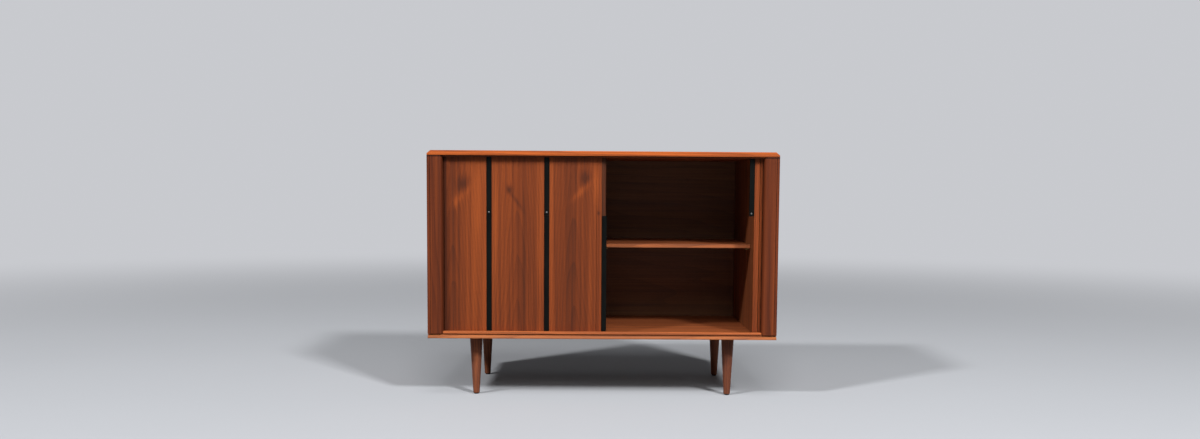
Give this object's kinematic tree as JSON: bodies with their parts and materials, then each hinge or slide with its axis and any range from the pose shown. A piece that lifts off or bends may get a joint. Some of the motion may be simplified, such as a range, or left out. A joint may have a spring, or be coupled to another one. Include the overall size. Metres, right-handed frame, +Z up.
{
  "type": "credenza",
  "caption": "Low walnut credenza with two sliding tambour doors, black upright strips, an inner shelf and tapered round legs.",
  "frame": {"origin": "centre of the footprint, on the floor", "axes": "+X to the right along the width, seen from the front; the front faces -Y; +Z up"},
  "size_m": [1, 0.48, 0.71],
  "materials": {
    "walnut": "oiled walnut veneer, satin",
    "dark_walnut": "stained back panel, matte",
    "black_wood": "black lacquer, satin",
    "steel": "plain screws and studs",
    "brass": "dull brass shelf pins",
    "felt": "black felt glides"
  },
  "bodies": {
    "case": {"top_board": "walnut", "bottom_board": "walnut", "left_side": "walnut", "right_side": "walnut", "left_stile": "walnut", "right_stile": "walnut", "lower_rail": "walnut", "upper_rail": "walnut", "left_partition": "walnut", "right_partition": "walnut", "centre_divider": "walnut", "shelf": "walnut", "back_panel": "dark_walnut", "back_screw_left_lower": "steel", "back_screw_left_upper": "steel", "back_screw_right_lower": "steel", "back_screw_right_upper": "steel", "shelf_pin_left_front": "brass", "shelf_pin_left_rear": "brass", "shelf_pin_right_front": "brass", "shelf_pin_right_rear": "brass", "left_slats_1": "walnut", "left_slats_2": "walnut", "left_slats_3": "walnut", "left_1_upper_bar": "black_wood", "left_1_lower_bar": "black_wood", "left_1_bar_screw": "steel", "left_2_upper_bar": "black_wood", "left_2_lower_bar": "black_wood", "left_2_bar_screw": "steel", "right_slats_1": "walnut", "right_slats_2": "walnut", "right_slats_3": "walnut", "right_1_upper_bar": "black_wood", "right_1_lower_bar": "black_wood", "right_1_bar_screw": "steel", "right_2_upper_bar": "black_wood", "right_2_lower_bar": "black_wood", "right_2_bar_screw": "steel", "front_left_leg": "walnut", "front_left_leg_bolt": "steel", "front_left_leg_insert": "steel", "front_left_leg_glide": "felt", "front_right_leg": "walnut", "front_right_leg_bolt": "steel", "front_right_leg_insert": "steel", "front_right_leg_glide": "felt", "rear_left_leg": "walnut", "rear_left_leg_bolt": "steel", "rear_left_leg_insert": "steel", "rear_left_leg_glide": "felt", "rear_right_leg": "walnut", "rear_right_leg_bolt": "steel", "rear_right_leg_insert": "steel", "rear_right_leg_glide": "felt"},
    "left_door": {"left_lead_slat": "walnut", "left_pull_bar": "black_wood"},
    "right_door": {"right_lead_slat": "walnut", "right_pull_bar": "black_wood", "right_pull_bar_screw": "steel"}
  },
  "joints": [
    {"name": "left_door_slide", "type": "slide", "parent": "case", "child": "left_door", "axis": [-1, 0, 0], "range_m": [0, 0.429], "deforming": ["left_slats_1", "left_slats_2", "left_slats_3", "left_1_upper_bar", "left_1_lower_bar", "left_1_bar_screw", "left_2_upper_bar", "left_2_lower_bar", "left_2_bar_screw"]},
    {"name": "right_door_slide", "type": "slide", "parent": "case", "child": "right_door", "axis": [-1, 0, 0], "range_m": [0, 0.421], "deforming": ["right_slats_1", "right_slats_2", "right_slats_3", "right_1_upper_bar", "right_1_lower_bar", "right_1_bar_screw", "right_2_upper_bar", "right_2_lower_bar", "right_2_bar_screw"]}
  ]
}
